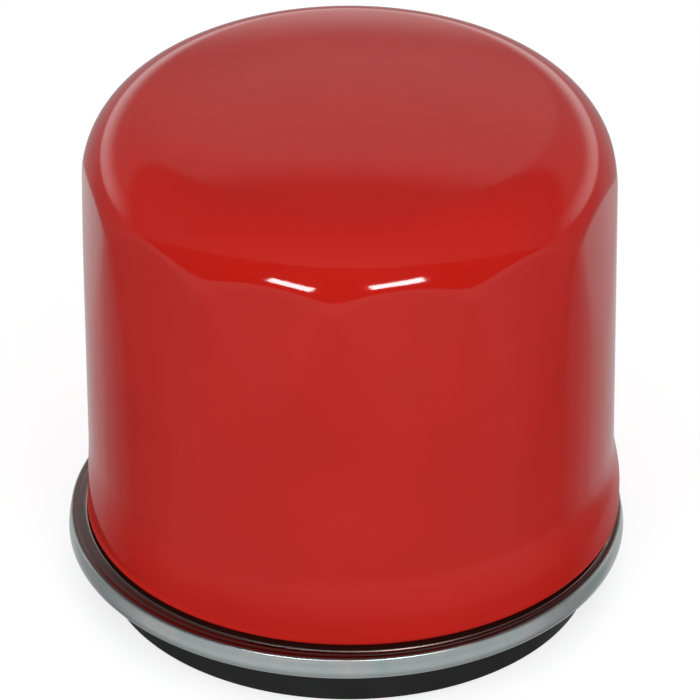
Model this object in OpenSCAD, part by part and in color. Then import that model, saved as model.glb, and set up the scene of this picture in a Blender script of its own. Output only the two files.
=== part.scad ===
// Spin-on oil filter for a small engine, standing on its sealing gasket with the dome up.
// Origin: centre of the gasket's sealing face. +Z runs up the filter's axis to the dome.
// All sizes are in millimetres.

/* [Can] */
// Outside diameter of the can's straight wall
can_d = 66; // [64:0.5:72]
// Height of the dome's top above the gasket's sealing face
can_h = 68.5; // [66:0.5:80]
// Thickness of the can's and the lid's steel sheet
sheet = 0.45; // [0.4:0.01:0.46]
// Radius of the shoulder between the wall and the crown
shoulder_r = 9.9; // [8:0.1:11]
// Radius of the shallow spherical crown
crown_r = 143; // [120:1:220]
// How far the wall flares out just above the seam
flare = 0.85; // [0.5:0.05:1]

/* [Wrench flats] */
// Number of flats that a cap wrench grips
flat_count = 12; // [10:1:14]
// Depth of each flat where it meets the shoulder
flat_depth = 0.6; // [0.4:0.05:1.2]
// Height at which the flats have faded into the round wall
flat_fade_z = 41; // [32:1:42]

/* [Base] */
// Lower edge of the double seam above the sealing face
seam_z = 6; // [5.8:0.1:6.4]
// Width of the gasket across its section
gasket_w = 4.25; // [3.5:0.05:4.5]
// Height of the gasket, most of which stands out of its groove
gasket_h = 5.7; // [5.5:0.1:5.8]
// Thickness of the tapping plate
plate_t = 3.2; // [2.8:0.1:3.4]
// Minor diameter of the M20 x 1.5 stud thread
thread_minor_d = 18.376; // [17:0.001:18.6]
// Number of oil inlet holes round the thread
inlet_count = 8; // [6:1:9]
// Diameter of each inlet hole
inlet_d = 6.4; // [5:0.1:6.6]

/* [Element] */
// Number of pleats in the paper
pleat_count = 48; // [36:1:50]
// Outside diameter over the end caps
element_d = 57.2; // [56:0.2:58]
// Height of the top of the upper end cap
element_top_z = 52; // [50:0.5:52.5]
// Rows of holes up the centre tube
tube_hole_rows = 5; // [3:1:5]
// Holes round the centre tube in each row
tube_hole_count = 10; // [6:1:12]
// Diameter of the centre tube's holes
tube_hole_d = 4.2; // [3:0.1:4.6]

/* [Hidden] */
$fn = 96;

eps = 0.01;
touch_gap = 0.03;               // left between pieces that bear on each other

// Can
can_r = can_d / 2;
join_z = 22;                    // the can is drawn as an upper shell and a lower ring meeting here
flare_top_z = 20;
flare_z = 12.8;                 // widest point of the flare
neck_z = 9.9;                   // where the wall is straight again, inside the seam
shoulder_c_r = can_r - shoulder_r;
crown_c_z = can_h - crown_r;
crown_join = asin(shoulder_c_r / (crown_r - shoulder_r));
shoulder_z = crown_c_z + (crown_r - shoulder_r) * cos(crown_join);
flat_tilt = atan(flat_depth / (shoulder_z - flat_fade_z));

// Double seam: five layers of sheet rolled together, named from the inside out by centreline radius
layer = sheet + touch_gap;
can_seam_r = can_r + 0.235;
chuck_r = can_seam_r - layer;
cover_hook_r = can_seam_r + layer;
body_hook_r = can_seam_r + 2 * layer;
seam_wall_r = can_seam_r + 3 * layer;
seam_bend_r = 0.5;
hook_bend_z = seam_z + sheet + touch_gap * 2 + layer + sheet / 2;
body_hook_top_z = 8.5;
cover_hook_low_z = hook_bend_z + 0.15;
curl_inner_c = [cover_hook_r + 0.3, 9.2];
curl_outer_c = [seam_wall_r - seam_bend_r, 8.6];
curl_normal = 34;               // direction of the sloping top of the seam between its two bends

// Lid: a step inside the seam, then a rolled lip and the groove that holds the gasket
step_top_z = 9;
lip_r = 0.35;
lip_outer_r = chuck_r - 0.98;
lip_inner_r = lip_outer_r - 2 * lip_r;
lip_z = 4.3;                    // lowest point of the lip
groove_bend_r = 0.4;
gasket_fit = 0.05;
gasket_outer_r = lip_inner_r - sheet / 2 - gasket_fit;
gasket_inner_r = gasket_outer_r - gasket_w;
collar_r = gasket_inner_r - gasket_fit - sheet / 2;
collar_low_z = 3.4;
groove_z = gasket_h + sheet / 2;

// Tapping plate
plate_z = gasket_h + sheet;
plate_top_z = plate_z + plate_t;
plate_r = lip_outer_r - sheet / 2 - 0.15;
bore_r = thread_minor_d / 2;
neck_r = 12.2;
neck_top_z = 14.15;
neck_fillet = 0.6;
bore_lead = 0.8;
inlet_pcd_r = 18.6;

// Anti-drainback valve
valve_bore_r = neck_r + 0.08;
valve_collar_r = 14.4;
valve_rim_r = 15.6;
valve_lip_r = 25.2;
valve_t = 1.1;
valve_lip_z = plate_top_z + touch_gap;
valve_top_z = 14.93;

// Element
cap_sheet = 0.4;
cap_bend_r = 0.5;
cap_r = element_d / 2 - cap_sheet / 2;
cap_rim_h = 3.8;
cap_collar_h = 3.5;
cap_collar_r = 13.65;
element_z = valve_top_z + touch_gap;
tube_r = 14.6;
tube_sheet = 0.4;
adhesive_t = 2;
media_low_z = element_z + cap_sheet + adhesive_t;
media_high_z = element_top_z - cap_sheet - adhesive_t;
pleat_in_r = 15.4;
pleat_out_r = cap_r - 1.4;
pleat_in_w = 0.7;               // width of each inner fold
pleat_out_w = 1;                // width of each outer fold
paper_t = 0.5;
clip_sheet = 0.3;
clip_w = 2.5;
clip_depth = 3.4;
clip_clearance = 0.15;
tube_hole_low_z = 22;
tube_hole_high_z = element_top_z - 5.5;

// Bypass valve in the top of the element
cage_sheet = 0.5;
cage_r = 9.95;
cage_bend_r = 0.5;
flange_r = 16.2;
cage_h = 12.9;
cage_floor_z = element_top_z + cage_sheet - cage_h - cage_sheet / 2;
guide_r = 1.58;
window_count = 4;
window_w = 5;
window_low_z = cage_floor_z + 2.6;
window_h = 8;
seat_z = element_top_z + cage_sheet;
seat_t = 0.5;
seat_hole_r = 6.5;
stem_r = 1.5;
stem_hole_r = stem_r + 0.04;
stem_low_z = cage_floor_z - 2.4;
stem_head_r = 3;
stem_head_t = 0.6;
seal_t = 0.97;
seal_r = 8.4;
disc_t = 0.5;
disc_r = 8.8;
seal_z = seat_z - touch_gap - seal_t;
disc_z = seal_z - disc_t;
bypass_spring_r = 6;
bypass_wire = 1.2;

// Spring that holds the element down
spring_seat_t = 0.5;
spring_seat_z = seat_z + seat_t;
spring_seat_collar_r = 10.9;
spring_seat_collar_h = 3.5;
spring_r = 12.9;
spring_wire = 1.6;
spring_low_z = spring_seat_z + spring_seat_t + touch_gap;
spring_high_z = crown_c_z + sqrt(pow(crown_r - sheet, 2) - pow(spring_r + spring_wire / 2, 2)) - 0.1;

// Points along an arc from angle a to angle b
function arc(c, r, a, b, n = 8) =
    [for (i = [0 : n]) c + r * [cos(a + (b - a) * i / n), sin(a + (b - a) * i / n)]];

function reversed(p) = [for (i = [len(p) - 1 : -1 : 0]) p[i]];

function all_but_first(p) = [for (i = [1 : len(p) - 1]) p[i]];

function unit(v) = v / norm(v);

function left_of(v) = [-v[1], v[0]];

// One point of a path moved sideways by d, mitred between its two neighbours
function side_point(p, a, b, d) =
    let (n1 = left_of(unit(p - a)), n2 = left_of(unit(b - p)))
    p + d * (n1 + n2) / (1 + n1 * n2);

function side_path(p, d) =
    let (last = len(p) - 1)
    [for (i = [0 : last])
        i == 0 ? p[0] + d * left_of(unit(p[1] - p[0]))
        : i == last ? p[last] + d * left_of(unit(p[last] - p[last - 1]))
        : side_point(p[i], p[i - 1], p[i + 1], d)];

// The same for a path that closes on itself
function side_loop(p, d) =
    let (n = len(p))
    [for (i = [0 : n - 1]) side_point(p[i], p[(i + n - 1) % n], p[(i + 1) % n], d)];

// Smooth step from 0 to 1
function ease(t) = (1 - cos(180 * t)) / 2;

// A ring of sheet metal whose section follows a centreline
module formed_ring(path, t) {
    rotate_extrude() polygon(concat(side_path(path, t / 2), reversed(side_path(path, -t / 2))));
}

module washer(inner_r, outer_r, z, h) {
    translate([0, 0, z])
        difference() {
            cylinder(r = outer_r, h = h);
            translate([0, 0, -eps]) cylinder(r = inner_r, h = h + 2 * eps);
        }
}

// Filled outline of the can above join_z, taken in from its outer face by inset
function can_outline(inset, low_z) = concat(
    [[0, low_z], [can_r - inset, low_z]],
    arc([shoulder_c_r, shoulder_z], shoulder_r - inset, 0, 90 - crown_join, 16),
    all_but_first(arc([0, crown_c_z], crown_r - inset, 90 - crown_join, 90, 8))
);

// What the wrench flats take off, taken in by inset so that the wall stays even
module flat_cutters(inset) {
    width = 24;
    height = 40;
    for (i = [0 : flat_count - 1])
        rotate([0, 0, (i + 0.5) * 360 / flat_count])
            translate([can_r, 0, flat_fade_z])
                rotate([0, -flat_tilt, 0])
                    translate([-inset, -width / 2, -1])
                        cube([8, width, height]);
}

module can_upper(inset, low_z) {
    difference() {
        rotate_extrude() polygon(can_outline(inset, low_z));
        flat_cutters(inset);
    }
}

can_lower_path = concat(
    [[can_r - sheet / 2, join_z]],
    [for (i = [0 : 8]) [can_r - sheet / 2 + flare * ease(i / 8), flare_top_z + (flare_z - flare_top_z) * i / 8]],
    [for (i = [1 : 6])
        let (t = i / 6)
        [can_r - sheet / 2 + flare + (can_seam_r - can_r + sheet / 2 - flare) * ease(t),
         flare_z + (neck_z - flare_z) * t]],
    arc([cover_hook_r, hook_bend_z], layer, 180, 360),
    [[body_hook_r, body_hook_top_z]]
);

module can_shell() {
    color([0.72, 0.07, 0.05])
        union() {
            difference() {
                can_upper(0, join_z);
                can_upper(sheet, join_z - 1);
            }
            formed_ring(can_lower_path, sheet);
        }
}

lid_path = concat(
    [[cover_hook_r, cover_hook_low_z]],
    arc(curl_inner_c, 0.3, 180, curl_normal),
    arc(curl_outer_c, seam_bend_r, curl_normal, 0),
    arc([seam_wall_r - seam_bend_r, seam_z + sheet / 2 + seam_bend_r], seam_bend_r, 0, -90),
    arc([chuck_r + seam_bend_r, seam_z + sheet / 2 + seam_bend_r], seam_bend_r, -90, -180),
    arc([(chuck_r + lip_outer_r) / 2, step_top_z], (chuck_r - lip_outer_r) / 2, 0, 180),
    arc([(lip_outer_r + lip_inner_r) / 2, lip_z + lip_r + sheet / 2], lip_r, 0, -180),
    arc([lip_inner_r - groove_bend_r, groove_z - groove_bend_r], groove_bend_r, 0, 90, 5),
    arc([collar_r + groove_bend_r, groove_z - groove_bend_r], groove_bend_r, 90, 180, 5),
    [[collar_r, collar_low_z]]
);

module seaming_lid() {
    color([0.75, 0.77, 0.78]) formed_ring(lid_path, sheet);
}

// Sealing compound in the top of the seam, above the can's hook
module seam_compound() {
    low_z = body_hook_top_z + 0.02;
    inner_r = body_hook_r - sheet / 2;
    outer_r = inner_r + 0.4;
    color([0.85, 0.82, 0.6])
        rotate_extrude()
            polygon([[inner_r, low_z], [outer_r, low_z], [outer_r, low_z + 0.12],
                     [inner_r + 0.2, low_z + 0.4], [inner_r, low_z + 0.4]]);
}

module sealing_gasket() {
    corner = 0.45;
    inner_r = gasket_inner_r;
    outer_r = gasket_outer_r;
    color([0.08, 0.08, 0.08])
        rotate_extrude()
            polygon(concat(
                arc([inner_r + corner, corner], corner, 180, 270, 5),
                arc([outer_r - corner, corner], corner, 270, 360, 5),
                arc([outer_r - corner, gasket_h - corner], corner, 0, 90, 5),
                arc([inner_r + corner, gasket_h - corner], corner, 90, 180, 5)));
}

module tapping_plate() {
    edge = 0.5;
    color([0.7, 0.72, 0.7])
        difference() {
            rotate_extrude()
                polygon(concat(
                    [[bore_r + bore_lead, plate_z], [plate_r - edge, plate_z], [plate_r, plate_z + edge],
                     [plate_r, plate_top_z - edge], [plate_r - edge, plate_top_z]],
                    arc([neck_r + neck_fillet, plate_top_z + neck_fillet], neck_fillet, 270, 180, 5),
                    [[neck_r, neck_top_z - 0.4], [neck_r - 0.4, neck_top_z],
                     [bore_r + bore_lead / 2, neck_top_z], [bore_r, neck_top_z - bore_lead / 2],
                     [bore_r, plate_z + bore_lead]]));
            for (i = [0 : inlet_count - 1])
                rotate([0, 0, (i + 0.5) * 360 / inlet_count])
                    translate([inlet_pcd_r, 0, plate_z - 1])
                        cylinder(d = inlet_d, h = plate_t + 2);
        }
}

// Rubber valve: a collar round the plate's neck and a skirt whose lip rests on the plate
module anti_drainback_valve() {
    skirt_z = 11.6;
    rim_z = valve_top_z - 1.6;
    color([0.13, 0.13, 0.14])
        rotate_extrude()
            polygon([[valve_bore_r, plate_top_z + 0.85], [valve_collar_r - 0.8, plate_top_z + 0.85],
                     [valve_collar_r, skirt_z], [valve_lip_r - 1.4, valve_lip_z],
                     [valve_lip_r - 0.3, valve_lip_z], [valve_lip_r, valve_lip_z + 0.3],
                     [valve_lip_r, valve_lip_z + 0.7], [valve_lip_r - 0.6, valve_lip_z + valve_t - 0.1],
                     [valve_collar_r + 0.7, skirt_z + valve_t], [valve_collar_r, rim_z - 0.2],
                     [valve_rim_r - 0.3, rim_z + 0.4],
                     [valve_rim_r, rim_z + 0.9], [valve_rim_r, valve_top_z - 0.2],
                     [valve_rim_r - 0.2, valve_top_z], [valve_bore_r + 0.3, valve_top_z],
                     [valve_bore_r, valve_top_z - 0.3]]);
}

// Coil between the dome and the spring seat, as its outer envelope
module element_spring() {
    color([0.6, 0.62, 0.64])
        washer(spring_r - spring_wire / 2, spring_r + spring_wire / 2, spring_low_z, spring_high_z - spring_low_z);
}

// Stamped cap that closes one end of the pleats, drawn for the lower end
cap_path = concat(
    [[cap_collar_r, cap_collar_h]],
    arc([cap_collar_r + cap_bend_r, cap_sheet / 2 + cap_bend_r], cap_bend_r, 180, 270, 5),
    arc([cap_r - cap_bend_r, cap_sheet / 2 + cap_bend_r], cap_bend_r, 270, 360, 5),
    [[cap_r, cap_rim_h]]
);

module lower_end_cap() {
    color([0.66, 0.68, 0.66]) translate([0, 0, element_z]) formed_ring(cap_path, cap_sheet);
}

module upper_end_cap() {
    color([0.66, 0.68, 0.66])
        translate([0, 0, element_top_z]) mirror([0, 0, 1]) formed_ring(cap_path, cap_sheet);
}

module centre_tube() {
    low_z = element_z + cap_sheet;
    high_z = element_top_z - cap_sheet;
    row_pitch = (tube_hole_high_z - tube_hole_low_z) / (tube_hole_rows - 1);
    color([0.72, 0.73, 0.74])
        difference() {
            washer(tube_r - tube_sheet, tube_r, low_z, high_z - low_z);
            for (row = [0 : tube_hole_rows - 1])
                for (i = [0 : tube_hole_count - 1])
                    translate([0, 0, tube_hole_low_z + row * row_pitch])
                        rotate([0, 90, (i + (row % 2) / 2) * 360 / tube_hole_count])
                            translate([0, 0, tube_r - tube_sheet - 2])
                                cylinder(d = tube_hole_d, h = tube_sheet + 4, $fn = 32);
        }
}

// Centreline of the folded paper, four points to a pleat
function pleat_points() =
    let (step = 360 / pleat_count,
         out_half = asin(pleat_out_w / 2 / pleat_out_r),
         in_half = asin(pleat_in_w / 2 / pleat_in_r))
    [for (i = [0 : pleat_count - 1])
        for (p = [[pleat_out_r, -out_half], [pleat_out_r, out_half],
                  [pleat_in_r, step / 2 - in_half], [pleat_in_r, step / 2 + in_half]])
            let (a = i * step + p[1])
            p[0] * [cos(a), sin(a)]];

module pleated_media() {
    centreline = pleat_points();
    color([0.85, 0.72, 0.45])
        translate([0, 0, media_low_z])
            linear_extrude(height = media_high_z - media_low_z)
                difference() {
                    polygon(side_loop(centreline, -paper_t / 2));
                    polygon(side_loop(centreline, paper_t / 2));
                }
}

// Ring of hardened adhesive in a cap, drawn for the lower cap
module adhesive_ring() {
    inner_r = tube_r + 0.05;
    outer_r = cap_r - cap_sheet / 2 - 0.02;
    chamfer = 0.35;
    rotate_extrude()
        polygon([[inner_r, cap_sheet], [outer_r - chamfer, cap_sheet], [outer_r, cap_sheet + chamfer],
                 [outer_r, cap_sheet + adhesive_t], [inner_r, cap_sheet + adhesive_t]]);
}

module lower_adhesive() {
    color([0.5, 0.25, 0.2]) translate([0, 0, element_z]) adhesive_ring();
}

module upper_adhesive() {
    color([0.5, 0.25, 0.2]) translate([0, 0, element_top_z]) mirror([0, 0, 1]) adhesive_ring();
}

// Folded strip that joins the first and last pleat
module media_seam_clip() {
    outer_x = pleat_out_r + paper_t / 2 + clip_clearance + clip_sheet;
    height = media_high_z - media_low_z - 0.4;
    color([0.78, 0.8, 0.8])
        translate([outer_x - clip_depth, -clip_w / 2, media_low_z + 0.2])
            difference() {
                cube([clip_depth, clip_w, height]);
                translate([-1, clip_sheet, -1])
                    cube([clip_depth + 1 - clip_sheet, clip_w - 2 * clip_sheet, height + 2]);
            }
}

// Ring on top of the bypass valve that centres the element's spring
module spring_seat() {
    mid_z = spring_seat_z + spring_seat_t / 2;
    bend = 0.5;
    color([0.7, 0.72, 0.72])
        formed_ring(concat(
            [[flange_r - 0.3, mid_z]],
            arc([spring_seat_collar_r + bend, mid_z + bend], bend, 270, 180, 5),
            [[spring_seat_collar_r, spring_seat_z + spring_seat_collar_h]]), spring_seat_t);
}

module bypass_seat_plate() {
    color([0.7, 0.72, 0.72]) washer(seat_hole_r, flange_r, seat_z, seat_t);
}

// Cup that hangs in the centre tube, with a flange on the upper end cap and windows for the oil
module bypass_cage() {
    flange_mid_z = element_top_z + cage_sheet / 2;
    color([0.68, 0.7, 0.7])
        difference() {
            formed_ring(concat(
                [[flange_r, flange_mid_z]],
                arc([cage_r + cage_bend_r, flange_mid_z - cage_bend_r], cage_bend_r, 90, 180, 5),
                arc([cage_r - cage_bend_r, cage_floor_z + cage_bend_r], cage_bend_r, 0, -90, 5),
                [[guide_r, cage_floor_z]]), cage_sheet);
            for (i = [0 : window_count - 1])
                rotate([0, 0, i * 360 / window_count])
                    translate([cage_r - 2, -window_w / 2, window_low_z])
                        cube([4, window_w, window_h]);
        }
}

// Coil under the valve disc, as its outer envelope
module bypass_spring() {
    low_z = cage_floor_z + cage_sheet / 2 + touch_gap;
    color([0.6, 0.62, 0.64])
        washer(bypass_spring_r - bypass_wire / 2, bypass_spring_r + bypass_wire / 2,
               low_z, disc_z - touch_gap - low_z);
}

module bypass_valve_disc() {
    color([0.74, 0.75, 0.76]) washer(stem_hole_r, disc_r, disc_z, disc_t);
}

module bypass_valve_seal() {
    color([0.1, 0.1, 0.1]) washer(stem_hole_r, seal_r, seal_z, seal_t);
}

// Rivet that carries the disc and the seal and slides in the cage's floor
module bypass_stem() {
    head_z = seal_z + seal_t;
    color([0.8, 0.8, 0.82])
        rotate_extrude()
            polygon([[0, stem_low_z], [stem_r - 0.3, stem_low_z], [stem_r, stem_low_z + 0.3],
                     [stem_r, head_z], [stem_head_r, head_z], [stem_head_r, head_z + stem_head_t / 2],
                     [stem_head_r - 0.6, head_z + stem_head_t], [0, head_z + stem_head_t]]);
}

can_shell();
seaming_lid();
seam_compound();
sealing_gasket();
tapping_plate();
anti_drainback_valve();
element_spring();
lower_end_cap();
upper_end_cap();
centre_tube();
pleated_media();
lower_adhesive();
upper_adhesive();
media_seam_clip();
spring_seat();
bypass_seat_plate();
bypass_cage();
bypass_spring();
bypass_valve_disc();
bypass_valve_seal();
bypass_stem();
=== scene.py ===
"""Looks for the spin-on oil filter: meshes, materials, stage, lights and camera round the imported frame."""
import math

import bmesh
import bpy
import numpy as np
from mathutils import Matrix, Quaternion, Vector


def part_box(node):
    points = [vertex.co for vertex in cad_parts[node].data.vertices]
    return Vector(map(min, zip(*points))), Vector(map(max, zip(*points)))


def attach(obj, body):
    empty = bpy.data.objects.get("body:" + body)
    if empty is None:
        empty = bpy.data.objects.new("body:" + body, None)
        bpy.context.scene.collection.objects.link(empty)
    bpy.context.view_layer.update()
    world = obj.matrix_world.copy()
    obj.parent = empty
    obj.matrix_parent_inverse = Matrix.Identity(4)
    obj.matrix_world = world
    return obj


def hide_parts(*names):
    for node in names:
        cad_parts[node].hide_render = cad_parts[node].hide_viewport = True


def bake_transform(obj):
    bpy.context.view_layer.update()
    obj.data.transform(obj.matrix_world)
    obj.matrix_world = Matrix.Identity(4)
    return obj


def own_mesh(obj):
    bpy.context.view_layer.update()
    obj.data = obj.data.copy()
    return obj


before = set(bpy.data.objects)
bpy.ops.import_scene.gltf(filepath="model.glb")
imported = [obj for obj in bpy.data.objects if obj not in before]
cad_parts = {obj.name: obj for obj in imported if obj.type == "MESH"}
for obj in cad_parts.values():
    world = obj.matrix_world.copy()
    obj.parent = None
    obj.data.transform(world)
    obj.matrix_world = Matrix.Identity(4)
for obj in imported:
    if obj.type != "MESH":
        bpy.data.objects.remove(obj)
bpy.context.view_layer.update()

MM = 0.001


# ---------------------------------------------------------------------------------------------
# Sizes in millimetres, from the frame where a node's box gives them
# ---------------------------------------------------------------------------------------------

def node_radius(node):
    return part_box(node)[1].x / MM


def node_low(node):
    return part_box(node)[0].z / MM


def node_high(node):
    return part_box(node)[1].z / MM


SHEET = 0.45                                # can and lid sheet
LAYER = SHEET + 0.03                        # one layer of the rolled seam
SEAM_R = node_radius("seaming_lid")
SEAM_LOW_Z = 5.75                           # lowest point of the rolled band
CAN_SEAM_R = SEAM_R - SHEET / 2 - 3 * LAYER  # centreline of the can's wall inside the seam
CAN_R = CAN_SEAM_R - 0.235
CAN_TOP_Z = node_high("can_shell")
SHOULDER_R = 9.9
CROWN_R = 143.0
FLARE = 0.5                                 # how far the can's end widens below FLARE_TOP_Z, in full from FLARE_Z
FLARE_TOP_Z = 20.0
FLARE_Z = 12.8
LIP_Z = 10.35                               # the flared end rolls in below this height
LIP_R = 0.55
NECK_INSET = 0.1                            # how much wider than the can its neck in the seam is
HOOK_TOP_Z = 7.4                            # edge of the can's hook in the seam
FOLD_LOW_Z = 7.4                            # inner wall of the lid's fold round the can's neck
FOLD_HIGH_Z = 9.05
BAND_SWELL = 0.17                           # how much further out than its CAD node the rolled band reaches
FLATS = 12
FLAT_DEPTH = 0.46                           # at the shoulder; it falls to nothing at FLAT_FADE_Z
FLAT_FADE_Z = 41.0
FLAT_STRAIGHTNESS = 0.5                     # 1 would be dead flat, 0 round: the sheet springs back a little
FLAT_EDGE_SOFTNESS = 0.05                   # how widely each flat blends with the round can
FLAT_CORNER_SOFTNESS = 0.03                 # and how widely two flats blend with each other
# The can isn't quite true to its seam: how far each part sits off the axis, along X
RIM_SHIFT = -0.5                            # rolled band
GASKET_SHIFT = -0.2
FOLD_SHIFT = 0.1                            # inner edge of the fold, and the neck inside it
LIP_SHIFT = 0.5                             # the can's flared end
CAN_SHIFT = 0.15                            # the can above its flare
CAN_LEAN = 0.006                            # and how far it leans back from there, for each unit of height
GASKET_R = node_radius("sealing_gasket")
GASKET_W = 4.25
GASKET_H = node_high("sealing_gasket")
PLATE_R = node_radius("tapping_plate")
PLATE_Z = node_low("tapping_plate")
PLATE_T = 3.2
NECK_R = 12.2
NECK_TOP_Z = node_high("tapping_plate")
THREAD_MINOR_R = 9.188
THREAD_MAJOR_R = 10.0
THREAD_PITCH = 1.5
INLETS = 8
INLET_R = 3.2
INLET_PCD_R = 18.6


# ---------------------------------------------------------------------------------------------
# Outlines
# ---------------------------------------------------------------------------------------------

def arc(centre, radius, start, end, steps=10):
    """Points round an arc, with angles in degrees."""
    angles = np.radians(np.linspace(start, end, steps + 1))
    return [(centre[0] + radius * math.cos(a), centre[1] + radius * math.sin(a)) for a in angles]


def line(start, end, steps):
    """Evenly spaced points from start up to, and not including, end."""
    t = np.arange(steps) / steps
    return [(start[0] + (end[0] - start[0]) * k, start[1] + (end[1] - start[1]) * k) for k in t]


def ease(t):
    return (1 - math.cos(math.pi * t)) / 2


def side_path(points, distance):
    """An open path moved sideways, to its left for a positive distance."""
    p = np.array(points, float)
    d = np.diff(p, axis=0)
    d /= np.linalg.norm(d, axis=1)[:, None]
    n = np.stack([-d[:, 1], d[:, 0]], 1)
    first, last = n[:1], n[-1:]
    before, after = np.vstack([first, n]), np.vstack([n, last])
    mitre = (before + after) / (1 + (before * after).sum(1))[:, None]
    return [tuple(q) for q in p + distance * mitre]


def rounded_outline(corners, radius, steps=6):
    """Closed outline through corners, each rounded by radius (one number, or one for each corner)."""
    radii = radius if isinstance(radius, (list, tuple)) else [radius] * len(corners)
    points = []
    for i, (corner, r) in enumerate(zip(corners, radii)):
        c = Vector(corner)
        a = (Vector(corners[i - 1]) - c).normalized()
        b = (Vector(corners[(i + 1) % len(corners)]) - c).normalized()
        half = a.angle(b) / 2
        reach = r / math.tan(half)
        start, end = c + a * reach, c + b * reach
        for k in range(steps + 1):
            t = k / steps
            q = (1 - t) ** 2 * start + 2 * t * (1 - t) * c + t * t * end
            points.append((q.x, q.y))
    return points


# ---------------------------------------------------------------------------------------------
# Meshes
# ---------------------------------------------------------------------------------------------

def make_object(name, verts, faces, sharp_angle=40, inner_faces=()):
    """A smooth-shaded object from vertices in millimetres. inner_faces take the second material."""
    mesh = bpy.data.meshes.new(name)
    mesh.from_pydata((np.asarray(verts, float) * MM).tolist(), [], faces)
    for index in inner_faces:
        mesh.polygons[index].material_index = 1
    build = bmesh.new()
    build.from_mesh(mesh)
    bmesh.ops.recalc_face_normals(build, faces=build.faces)
    build.to_mesh(mesh)
    build.free()
    mesh.shade_smooth()
    mesh.set_sharp_from_angle(angle=math.radians(sharp_angle))
    obj = bpy.data.objects.new(name, mesh)
    bpy.context.collection.objects.link(obj)
    return obj


def revolve(outline, segments, shape=None):
    """Vertices and faces of a closed outline turned about Z. shape(index, angles) may give each point's radii."""
    angles = np.arange(segments) * 2 * math.pi / segments
    verts, rows = [], []
    for i, (r, z) in enumerate(outline):
        if abs(r) < 1e-6:
            rows.append([len(verts)])
            verts.append((0, 0, z))
            continue
        radii, heights = (np.full(segments, r), np.full(segments, z)) if shape is None else shape(i, angles)
        rows.append(list(range(len(verts), len(verts) + segments)))
        verts.extend(zip(radii * np.cos(angles), radii * np.sin(angles), heights))
    faces, owners = [], []
    for i, row in enumerate(rows):
        following = rows[(i + 1) % len(rows)]
        for k in range(segments):
            nxt = (k + 1) % segments
            if len(row) == 1 and len(following) == 1:
                break
            if len(row) == 1:
                faces.append((row[0], following[nxt], following[k]))
            elif len(following) == 1:
                faces.append((row[k], row[nxt], following[0]))
            else:
                faces.append((row[k], row[nxt], following[nxt], following[k]))
            owners.append(i)
    return verts, faces, owners


def lathe(name, outline, segments=192, shape=None, sharp_angle=40):
    verts, faces, _ = revolve(outline, segments, shape)
    return make_object(name, verts, faces, sharp_angle)


def cut(obj, cutter):
    """Takes the cutter's mesh out of obj and deletes the cutter."""
    step = obj.modifiers.new("cut", "BOOLEAN")
    step.operation = "DIFFERENCE"
    step.solver = "EXACT"
    step.object = cutter
    graph = bpy.context.evaluated_depsgraph_get()
    mesh = bpy.data.meshes.new_from_object(obj.evaluated_get(graph))
    obj.modifiers.clear()
    obj.data = mesh
    bpy.data.objects.remove(cutter)


def merge(name, parts, sharp_angle=40):
    """One object from several lists of vertices and faces."""
    verts, faces = [], []
    for v, f in parts:
        start = len(verts)
        verts.extend(v)
        faces.extend(tuple(start + k for k in face) for face in f)
    return make_object(name, verts, faces, sharp_angle)


def tube_along(points, radius, frames, around=16):
    """Vertices and faces of a closed tube along points; frames gives the two section directions at each."""
    turn = np.arange(around) * 2 * math.pi / around
    verts, faces = [], []
    for p, (u, v) in zip(points, frames):
        verts.extend(p + radius * (math.cos(a) * u + math.sin(a) * v) for a in turn)
    count = len(points)
    for i in range(count - 1):
        for k in range(around):
            a, b = i * around + k, i * around + (k + 1) % around
            faces.append((a, b, b + around, a + around))
    faces.append(tuple(range(around))[::-1])
    faces.append(tuple(range((count - 1) * around, count * around)))
    return np.array(verts), faces


# ---------------------------------------------------------------------------------------------
# Materials
# ---------------------------------------------------------------------------------------------

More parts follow.
